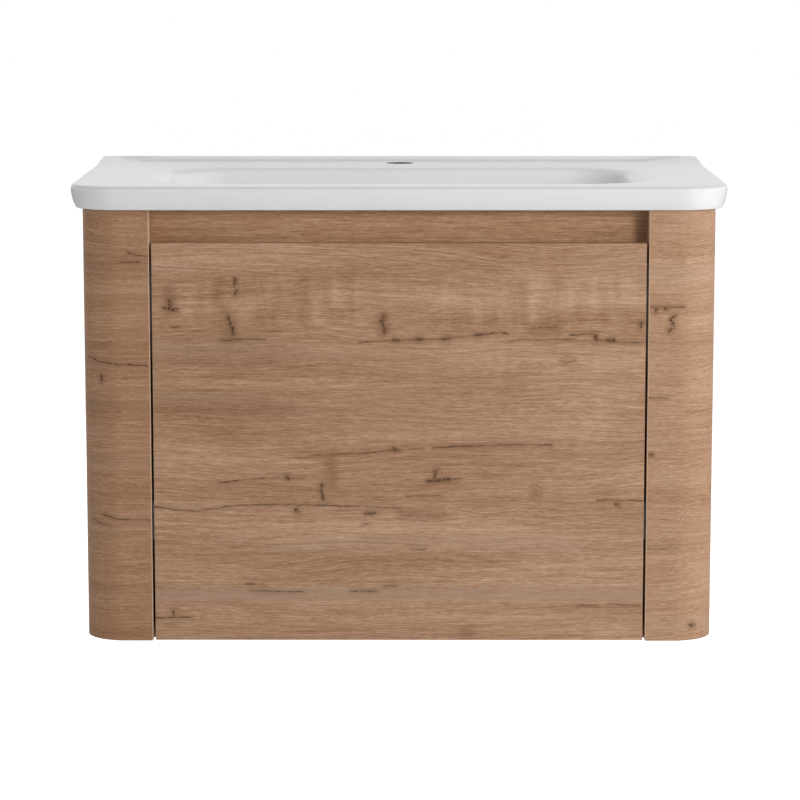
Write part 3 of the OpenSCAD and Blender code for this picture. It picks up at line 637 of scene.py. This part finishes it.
def make_side_panel(node, side, material, shift):
    """A side panel; side is 1 on the right and -1 on the left, shift moves its grain."""
    rows = panel_outline()
    low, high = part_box(node)
    verts, runs = [], []
    for z in (low.z, high.z):
        for outer, inner, run in rows:
            verts += [(side * outer[0], outer[1], z), (side * inner[0], inner[1], z)]
            runs += [(run, z, 0.0), (run, z, PANEL_T)]
    top = 2 * len(rows)
    faces = []
    last = top - 2
    for here in range(0, last, 2):
        ahead = here + 2
        faces += [(here, ahead, ahead + top, here + top),
                  (ahead + 1, here + 1, here + 1 + top, ahead + 1 + top),
                  (here, here + 1, ahead + 1, ahead),
                  (here + top, ahead + top, ahead + 1 + top, here + 1 + top)]
    faces += [(1, 0, top, top + 1), (last, last + 1, last + 1 + top, last + top)]
    if side < 0:
        faces = [tuple(reversed(f)) for f in faces]
    piece = new_piece(node + "_finished", verts, faces)
    made = piece.data.attributes.new("grain", "FLOAT_VECTOR", "POINT")
    made.data.foreach_set("vector", (np.array(runs) + np.array([0, 0, shift * MM])).ravel())
    soften(piece, 0.5 * MM)
    return settle(piece, node, material)


# ---------- the basin ----------

# Millimetres; the wall is at Y 0 and the front at negative Y
DECK_Z = 89.0
RIM_HALF = 405
RIM_FRONT = -458
RIM_CORNER = 60
RIM_ROUND = 4.5
RIM_CURVE = 6.2  # how far the rim's face curves in above its foot
RIM_FOOT_Z = 60
RIM_FOOT_INSET = 7
BACK_CORNER = 5.0
BACK_RISE = 5.0
BACK_LAND = 4  # flat top of the raised back edge
BACK_DEPTH = 15.0  # strip along the back that has close rings
COVE_R = 10
COVE_REACH = 14  # from the wall to the cove's start
SLOPE_REACH = 100  # from the wall to the start of the slope at both ends
DECK_FALL = 2.2
BOWL_HALF = 298
BOWL_FRONT = -400
BOWL_BACK = -124
BOWL_CORNER = 72
BOWL_DEPTH = 109.0
CORNER_SHRINK = 0.42  # share of the corner radius that is lost at the floor
SKIN = 8  # ceramic beside the bowl
FLOOR_SKIN = 11  # ceramic below the bowl
LIP_DEPTH = 9
LIP_REACH = 9
LIP_END_REACH = 27
LIP_CORNER_REACH = 18
POCKET_HALF = 362
POCKET_FRONT = -386
POCKET_BACK = -30
POCKET_CORNER = 2
POCKET_TOP = 74
WASTE_Y = -240.0
OVERFLOW_DROP = 49
BLOCK_HALF = 17  # the block is the ceramic round the overflow's duct
BLOCK_TOP = 75
BLOCK_BACK = -104
BLOCK_BOTTOM = -51.8
BLOCK_FRONT = -213
BLOCK_FRONT_TOP = -25
DUCT_R = 8

# The bowl's walls: (lean per depth, size of the sweep into the floor)
END_WALL = (0.42, 70)
FRONT_WALL = (0.72, 48)
BACK_WALL = (0.30, 48)
WALL_STEPS = 27

# Turned outlines as rows of (radius, height)
WASTE_HOLE = [(22.5, -52), (22.5, -23.6), (23.1, -23), (31.4, -23), (32, -22.6), (32, -20.6), (32.7, -20.05)]
WASTE_FOOT = [(36, -31), (33.6, -31.6), (33, -33.4), (33, -51.2), (32.2, -52)]
TAP_HOLE = [(0, 100), (18.8, 100), (18.8, 89), (18.2, 88.8), (17.8, 88.4), (17.5, 87.8), (17.5, 55), (0, 55)]
OVERFLOW_HOLE = [(0, 12), (13.2, 12), (13.2, -2), (10, -2), (10, -22), (0, -22)]

# Points of every ring along half the front, round a corner, along a side and along the back
HALF_FRONT_POINTS = 15
CORNER_POINTS = 20
SIDE_POINTS = 33
BACK_POINTS = 30


def side_shares():
    """Shares along a side, front to back, closer together near the raised back edge."""
    near_back = [0.80, 0.825, 0.85, 0.875, 0.90, 0.922, 0.938, 0.952, 0.963, 0.971, 0.978, 0.984,
                 0.989, 0.995]
    even = SIDE_POINTS - len(near_back)
    return [near_back[0] * i / even for i in range(even)] + near_back


def even_shares(count):
    return [i / count for i in range(count)]


def rounded_ring(half_x, front, back, front_r, back_r):
    """Points round a rounded rectangle in plan, always the same number in the same places."""
    # a hair under half the depth, so that the sides keep some length
    largest = (back - front) / 2.001
    front_r, back_r = min(front_r, largest), min(back_r, largest)
    fx, bx = half_x - front_r, half_x - back_r
    fy, by = front + front_r, back - back_r
    ring = []

    def straight(a, b, shares):
        for s in shares:
            ring.append((a[0] + (b[0] - a[0]) * s, a[1] + (b[1] - a[1]) * s))

    def corner(cx, cy, r, start):
        for i in range(CORNER_POINTS):
            a = math.radians(start + 90 * i / CORNER_POINTS)
            ring.append((cx + r * math.cos(a), cy + r * math.sin(a)))

    rising = side_shares()
    falling = [0.0] + [1 - s for s in reversed(rising)][:-1]
    straight((0, front), (fx, front), even_shares(HALF_FRONT_POINTS))
    corner(fx, fy, front_r, -90)
    straight((half_x, fy), (half_x, by), rising)
    corner(bx, by, back_r, 0)
    straight((bx, back), (-bx, back), even_shares(BACK_POINTS))
    corner(-bx, by, back_r, 90)
    straight((-half_x, by), (-half_x, fy), falling)
    corner(-fx, fy, front_r, 180)
    straight((-fx, front), (0, front), even_shares(HALF_FRONT_POINTS))
    return np.array(ring)


def circle_ring(like, radius):
    """A circle round the waste with a point towards every point of another ring."""
    middle = np.array([0, WASTE_Y])
    away = like - middle
    return middle + away / np.linalg.norm(away, axis=1)[:, None] * radius


def wall_share(step):
    """Shares of the bowl's depth, closer together near its floor."""
    return math.sin(math.radians(90 * step / WALL_STEPS))


def wall_inset(u, wall):
    """How far a bowl wall has drawn in at a share u of the depth."""
    lean, sweep = wall
    return lean * BOWL_DEPTH * u + sweep * (1 - math.sqrt(max(0.0, 1 - u ** 3)))


def wall_ring(u, out_x, out_y, r):
    """The bowl's walls in plan at a share u of the depth, moved outwards by out_x and out_y."""
    return rounded_ring(BOWL_HALF - wall_inset(u, END_WALL) + out_x,
                        BOWL_FRONT + wall_inset(u, FRONT_WALL) - out_y,
                        BOWL_BACK - wall_inset(u, BACK_WALL) + out_y, r, r)


def bowl_ring(u, grow=0.0):
    return wall_ring(u, grow, grow, BOWL_CORNER * (1 - CORNER_SHRINK * u) + grow)


def lip_ring(angle):
    """The soft lip from the bowl's wall at 0 degrees to the deck at 90; it is widest at both ends."""
    a = math.radians(angle)
    depth = LIP_DEPTH * (1 - math.sin(a))
    open_out = 1 - math.cos(a)
    plan = wall_ring(depth / BOWL_DEPTH, LIP_END_REACH * open_out, LIP_REACH * open_out,
                     BOWL_CORNER + LIP_CORNER_REACH * open_out)
    return plan, DECK_Z - depth


def rim_ring(inset, back=0.0):
    return rounded_ring(RIM_HALF - inset, RIM_FRONT + inset, -back, RIM_CORNER - inset, BACK_CORNER)


def ease(value, low, high):
    """A smooth step from 0 at low to 1 at high."""
    t = np.clip((value - low) / (high - low), 0, 1)
    return t * t * (3 - 2 * t)


def raised_back(plan):
    """Height of the raised back edge above the deck; its cove runs out in a long slope at both ends."""
    x, y = np.abs(plan[:, 0]), plan[:, 1]
    end = ease(x, 335, 402)
    reach = COVE_REACH + (SLOPE_REACH - COVE_REACH) * end
    t = np.clip((y + reach) / (reach - BACK_LAND), 0, 1)
    cove = np.minimum(BACK_RISE, COVE_R - COVE_R * np.sqrt(np.maximum(0, 1 - t ** 2)))
    slope = BACK_RISE * t * (0.4 + 0.6 * t * (3 - 2 * t))
    return np.where(y > -BACK_LAND - 0.0001, BACK_RISE, cove + (slope - cove) * end)


def tap_deck_fall(plan):
    """The tap deck falls gently towards the back of the bowl."""
    x, y = np.abs(plan[:, 0]), plan[:, 1]
    return DECK_FALL * ease(-y, 80, 116) * ease(y, -200, -130) * ease(-x, -335, -300)


def outer_share(z):
    """The share of the outer skin's depth that is at this height."""
    return (DECK_Z - z) / (BOWL_DEPTH + FLOOR_SKIN)


def basin_levels():
    """The skin as rings, up from the waste through the bowl, over the rim and back below.

    Returns each ring's points, and how much painted shade darkens them.
    """
    levels, painted_shades = [], []

    def add(plan, z, rim_shade=0.0):
        heights = np.full(len(plan), float(z)) if np.isscalar(z) else z
        levels.append(np.column_stack([plan, heights]))
        painted_shades.append(np.full(len(plan), rim_shade))

    # waste and bowl
    floor = bowl_ring(1.0)
    for radius, z in WASTE_HOLE:
        add(circle_ring(floor, radius), z)
    add(0.5 * (floor + circle_ring(floor, WASTE_HOLE[-1][0])), -20.02)
    for step in range(WALL_STEPS, 0, -1):
        u = wall_share(step)
        if u > LIP_DEPTH / BOWL_DEPTH:
            add(bowl_ring(u), DECK_Z - BOWL_DEPTH * u)

    # lip, deck and raised back edge
    for angle in (0, 11, 22, 34, 46, 58, 70, 80, 90):
        plan, z = lip_ring(angle)
        add(plan, z - tap_deck_fall(plan) * math.sin(math.radians(angle)))
    lip = lip_ring(90)[0]
    edge = rim_ring(RIM_ROUND + BACK_DEPTH, BACK_DEPTH)
    for share in (0.05, 0.11, 0.17, 0.24, 0.31, 0.4, 0.5, 0.75):
        plan = lip + (edge - lip) * share
        add(plan, DECK_Z - tap_deck_fall(plan) + raised_back(plan))
    for back in (BACK_DEPTH, 13.2, 11.6, 10.2, 8.9, 7.8, 6.9, 6.1, 5.4, 4.6, 3.6, 2.2, 0.8, 0.0):
        plan = rim_ring(RIM_ROUND + back, back)
        add(plan, DECK_Z + raised_back(plan))

    # rim
    rim_edge = DECK_Z - RIM_ROUND
    for angle in (78, 66, 54, 42, 30, 18, 8, 0):
        a = math.radians(angle)
        plan = rim_ring(RIM_ROUND * (1 - math.cos(a)))
        raised = raised_back(plan) * math.sin(a) ** 0.5
        # painted shade on the rim's rounding, strongest halfway round it
        add(plan, rim_edge + RIM_ROUND * math.sin(a) + raised, math.sin(2 * a) ** 2)
    for drop in (3.5, 7, 10.5, 14, 17, 20, 22.5, 24):
        add(rim_ring(RIM_CURVE * (drop / (rim_edge - RIM_FOOT_Z)) ** 2), rim_edge - drop)
    add(rim_ring(RIM_FOOT_INSET), RIM_FOOT_Z)

    # pocket below the rim, where it lies outside the bowl's skin
    foot_skin = bowl_ring(outer_share(RIM_FOOT_Z), SKIN)
    pocket = rounded_ring(POCKET_HALF, POCKET_FRONT, POCKET_BACK, POCKET_CORNER, POCKET_CORNER)
    outside = ~inside(pocket, foot_skin)
    wall = np.where(outside[:, None], pocket, foot_skin)
    eased = wall + (foot_skin - wall) * 0.03
    add(wall, RIM_FOOT_Z)
    add(wall, np.where(outside, POCKET_TOP - 1, RIM_FOOT_Z))
    add(eased, np.where(outside, POCKET_TOP, RIM_FOOT_Z))
    for z in (POCKET_TOP, 70, 65, RIM_FOOT_Z):
        plan = np.where(outside[:, None], bowl_ring(outer_share(z), SKIN), foot_skin)
        add(plan, np.where(outside, z, RIM_FOOT_Z))

    # outer skin and the waste's foot
    for step in range(1, WALL_STEPS + 1):
        u = wall_share(step)
        if u > outer_share(RIM_FOOT_Z - 1):
            add(bowl_ring(u, SKIN), DECK_Z - (BOWL_DEPTH + FLOOR_SKIN) * u)
    for radius, z in WASTE_FOOT:
        add(circle_ring(floor, radius), z)
    return levels, painted_shades


def inside(points, ring):
    """Whether each point lies inside a closed ring."""
    x, y = points[:, 0][:, None], points[:, 1][:, None]
    x0, y0 = ring[:, 0], ring[:, 1]
    x1, y1 = np.roll(x0, -1), np.roll(y0, -1)
    cross = (y0 > y) != (y1 > y)
    at = x0 + (y - y0) * (x1 - x0) / np.where(y1 == y0, 1e-9, y1 - y0)
    return (cross & (x < at)).sum(1) % 2 == 1


def turned(name, profile, segments=64):
    """A closed solid turned about +Z from (radius, height) rows that start and end on the axis."""
    verts, rings, faces = [], [], []
    turns = [2 * math.pi * i / segments for i in range(segments)]
    for r, z in profile:
        if r == 0:
            rings.append([len(verts)])
            verts.append((0, 0, z))
        else:
            rings.append(list(range(len(verts), len(verts) + segments)))
            verts += [(r * math.cos(a), r * math.sin(a), z) for a in turns]
    for a, b in zip(rings, rings[1:]):
        for i in range(segments):
            j = (i + 1) % segments
            face = [a[i % len(a)], a[j % len(a)], b[j % len(b)], b[i % len(b)]]
            faces.append([v for k, v in enumerate(face) if v not in face[:k]])
    made = new_piece(name, verts, faces)
    with editing(made.data) as work:
        bmesh.ops.recalc_face_normals(work, faces=work.faces)
    return made


def cutter(name, rows, start, turn=0.0, segments=64):
    """A turned cutter from rows in millimetres, at a point in millimetres and turned about X."""
    made = turned(name, [(r * MM, z * MM) for r, z in rows], segments)
    made.location = Vector(start) * MM
    made.rotation_euler = (turn, 0, 0)
    bpy.context.view_layer.update()
    return made


def bore(name, radius, length, start, turn=0.0):
    """A round cutter from a starting point along +Z before it is turned."""
    return cutter(name, [(0, 0), (radius, 0), (radius, length), (0, length)], start, turn, 32)


def combine(piece, other, operation):
    """Takes another solid out of a piece or joins it to the piece, in the mesh itself."""
    made = piece.modifiers.new("combine", "BOOLEAN")
    made.operation = operation
    made.solver = "EXACT"
    made.object = other
    bpy.context.view_layer.update()
    fresh = bpy.data.meshes.new_from_object(piece.evaluated_get(bpy.context.evaluated_depsgraph_get()))
    piece.modifiers.clear()
    piece.data = fresh
    bpy.data.objects.remove(other)


def overflow_block():
    """The ceramic round the overflow's duct, behind and below the bowl, with rounded outer edges."""
    profile = [(BLOCK_BACK, BLOCK_TOP), (BLOCK_BACK, BLOCK_BOTTOM), (BLOCK_FRONT, BLOCK_BOTTOM),
               (BLOCK_FRONT, BLOCK_FRONT_TOP)]
    for step in range(14, -1, -1):
        u = 0.12 + 0.86 * step / 14
        profile.append((BOWL_BACK + 4 - wall_inset(u, BACK_WALL), DECK_Z - 3 - BOWL_DEPTH * u))
    n = len(profile)
    verts = [(x * MM, y * MM, z * MM) for x in (-BLOCK_HALF, BLOCK_HALF) for y, z in profile]
    faces = [tuple(range(n)), tuple(range(2 * n - 1, n - 1, -1))]
    faces += [(i, i + n, (i + 1) % n + n, (i + 1) % n) for i in range(n)]
    block = new_piece("overflow_block", verts, faces)

    def lies_outside(edge):
        ends = [v.co / MM for v in edge.verts]
        seen = all(p.y > BLOCK_BACK - 0.1 or p.z < BLOCK_BOTTOM + 0.1 for p in ends)
        at_top = all(p.z > BLOCK_TOP - 5 for p in ends)
        at_front = all(p.y < BLOCK_FRONT + 1 for p in ends)
        return seen and not at_top and not at_front

    with editing(block.data) as work:
        outer = [edge for edge in work.edges if lies_outside(edge)]
        bmesh.ops.bevel(work, geom=outer, offset=5 * MM, segments=4, profile=0.5, affect="EDGES")
        bmesh.ops.recalc_face_normals(work, faces=work.faces)
    return block


def overflow_hole():
    """A cutter for the overflow and its ring's seat, square to the bowl's back wall."""
    u = OVERFLOW_DROP / BOWL_DEPTH
    lean, sweep = BACK_WALL
    slope = lean + sweep * 3 * u ** 2 / (2 * BOWL_DEPTH * math.sqrt(1 - u ** 3))
    start = (0, BOWL_BACK - wall_inset(u, BACK_WALL), DECK_Z - OVERFLOW_DROP)
    return cutter("overflow_cutter", OVERFLOW_HOLE, start, math.pi / 2 - math.atan(slope))


def make_basin():
    levels, painted_shades = basin_levels()
    n = len(levels[0])
    count = len(levels)
    faces = []
    for k in range(count):
        a, b = k * n, ((k + 1) % count) * n
        for i in range(n):
            j = (i + 1) % n
            faces.append((a + i, a + j, b + j, b + i))
    piece = new_piece("basin_finished", np.vstack(levels) * MM, faces)
    # painted shade for the rim's rounding, carried on the points for the material
    rim_shade = piece.data.attributes.new("rim_painted_shade", "FLOAT", "POINT")
    rim_shade.data.foreach_set("value", np.concatenate(painted_shades))
    with editing(piece.data) as work:
        bmesh.ops.remove_doubles(work, verts=work.verts, dist=0.01 * MM)
        bmesh.ops.recalc_face_normals(work, faces=work.faces)

    combine(piece, overflow_block(), "UNION")
    for hole in (cutter("tap_cutter", TAP_HOLE, (0, TAP_Y, 0)),
                 overflow_hole(),
                 bore("duct_down", DUCT_R, 82, (0, -121, -41)),
                 bore("duct_along", DUCT_R, 106, (0, -115, -41), math.pi / 2)):
        combine(piece, hole, "DIFFERENCE")
    with editing(piece.data) as work:
        bmesh.ops.remove_doubles(work, verts=work.verts, dist=0.003 * MM)
        bmesh.ops.dissolve_degenerate(work, edges=work.edges, dist=0.003 * MM)
    return settle(piece, "basin", "ceramic", 38)


# ---------- all pieces ----------

make_basin()
make_side_panel("right_side_panel", 1, "oak_right_painted_light", 0)
make_side_panel("left_side_panel", -1, "oak_left_painted_shade", 300)

# Each oak board: (axes along, across and through its grain, material, shift of its print, rounding)
OAK_BOARDS = {
    "drawer_front": ("XZY", "oak_front", (0, 0, 0), 0.5),
    "recess_rail": ("XZY", "oak_rail_painted_light", (740, 310, 90), 0.4),
    "bottom_panel": ("XYZ", "oak_foil", (130, -900, 40), 0.4),
    "rear_top_rail": ("XZY", "oak_foil", (-1500, 620, 0), 0.4),
    "rear_bottom_rail": ("XZY", "oak_foil", (2200, 80, 300), 0.4),
    "left_inner_side": ("YZX", "oak_foil", (-3100, 500, 200), 0.4),
    "right_inner_side": ("YZX", "oak_foil", (3600, -700, 150), 0.4),
}
for node, (order, material, shift, width) in OAK_BOARDS.items():
    board = copy_of(node)
    set_grain(board, order, shift)
    soften(board, width * MM)
    settle(board, node, material)

# Rounding of the other pieces' edges in millimetres, by the finish of the piece
EDGES = {"drawer_board": 0.4, "beech": 0.3, "silicone": 0.5, "clear_bumper": 0.4, "chrome": 0.25,
         "zinc_steel": 0.2, "zinc_casting": 0.5, "ball_steel": 0.12, "zinc_screw": 0.08, "cap_plastic": 0.3}
for part in frame["record"]["subparts"]:
    node, slot = part["node"], part["material_slot"]
    if slot in EDGES:
        piece = copy_of(node)
        soften(piece, EDGES[slot] * MM)
        settle(piece, node, slot)


# ---------- floor, lights and camera ----------

FLOOR_Z = -0.81
SKY_LEVEL = 0.30
MIDDLE = (0.0, -0.4, -0.15)
# Round lamps that face the middle: (name, place, size, watts, mirrored in the glaze and the metal)
LAMPS = [
    ("key", (1.37, -2.97, 0.58), 0.75, 36.5, False),
    ("side", (3.19, -1.25, 0.67), 1.4, 41, False),
    ("left", (-3.19, -1.25, 0.67), 1.4, 16, False),
    ("back", (-0.75, 3.30, 0.70), 1.6, 26, False),
    ("top", (0.11, -1.01, 2.78), 1.8, 4, False),
    ("right_high", (1.62, -1.45, 2.15), 0.35, 6, True),
    ("left_high", (-1.90, -0.06, 2.15), 0.30, 5, True),
]
LENS_MM = 139.4
CAMERA_PLACE = (0.0099, -4.2164, 0.3959)
# Degrees that the camera looks down, and turns to the left
CAMERA_DOWN = 8.601
CAMERA_TURN = 0.131


def floor_look(tree, output):
    """Pale floor that reads white where it is lit and keeps the shadow."""
    place = tree.place()
    cloud = tree.noise(tree.scaled(place, (1.5, 1.5, 1.5)), 2)
    colour = tree.ramp(cloud, [(0.3, (0.80, 0.80, 0.80)), (0.7, (0.82, 0.82, 0.82))])
    plain = tree.node("ShaderNodeBsdfDiffuse", {"Color": colour}).outputs[0]
    glow = tree.node("ShaderNodeEmission", {"Color": (1, 1, 1, 1), "Strength": 0.80}).outputs[0]
    lifted = tree.node("ShaderNodeAddShader", {0: plain, 1: glow}).outputs[0]
    seen = tree.node("ShaderNodeLightPath").outputs["Is Camera Ray"]
    tree.feed(output, tree.node("ShaderNodeMixShader", {0: seen, 1: plain, 2: lifted}).outputs[0])


floor = new_piece("floor", [(-9, -7, FLOOR_Z), (9, -7, FLOOR_Z), (9, 12, FLOOR_Z), (-9, 12, FLOOR_Z)],
                  [(0, 1, 2, 3)])
floor_material = bpy.data.materials.new("pale_floor")
floor_material.use_nodes = True
floor_material.node_tree.nodes.clear()
floor_tree = Tree(floor_material.node_tree)
floor_look(floor_tree, floor_tree.node("ShaderNodeOutputMaterial").inputs["Surface"])
floor.data.materials.append(floor_material)

world = bpy.data.worlds.new("studio")
bpy.context.scene.world = world
world.use_nodes = True
world.node_tree.nodes.clear()
sky = Tree(world.node_tree)
path = sky.node("ShaderNodeLightPath").outputs
white = sky.most(sky.most(path["Is Camera Ray"], path["Is Glossy Ray"]), path["Is Transmission Ray"])
strength = sky.add(SKY_LEVEL, sky.times(white, 1 - SKY_LEVEL))
background = sky.node("ShaderNodeBackground", {"Color": (1, 1, 1, 1), "Strength": strength})
sky.feed(sky.node("ShaderNodeOutputWorld").inputs["Surface"], background.outputs[0])

for name, place, size, watts, mirrored in LAMPS:
    light = bpy.data.lights.new(name, "AREA")
    light.shape = "DISK"
    light.size = size
    light.energy = watts
    lamp = bpy.data.objects.new(name, light)
    bpy.context.scene.collection.objects.link(lamp)
    lamp.location = place
    lamp.rotation_euler = (Vector(MIDDLE) - Vector(place)).to_track_quat("-Z", "Y").to_euler()
    lamp.visible_glossy = mirrored

lens = bpy.data.cameras.new("camera")
lens.sensor_width = 36
lens.lens = LENS_MM
camera = bpy.data.objects.new("camera", lens)
bpy.context.scene.collection.objects.link(camera)
camera.location = CAMERA_PLACE
camera.rotation_euler = (math.radians(90 - CAMERA_DOWN), 0, math.radians(CAMERA_TURN))
bpy.context.scene.camera = camera
bpy.context.scene.view_settings.view_transform = "Standard"
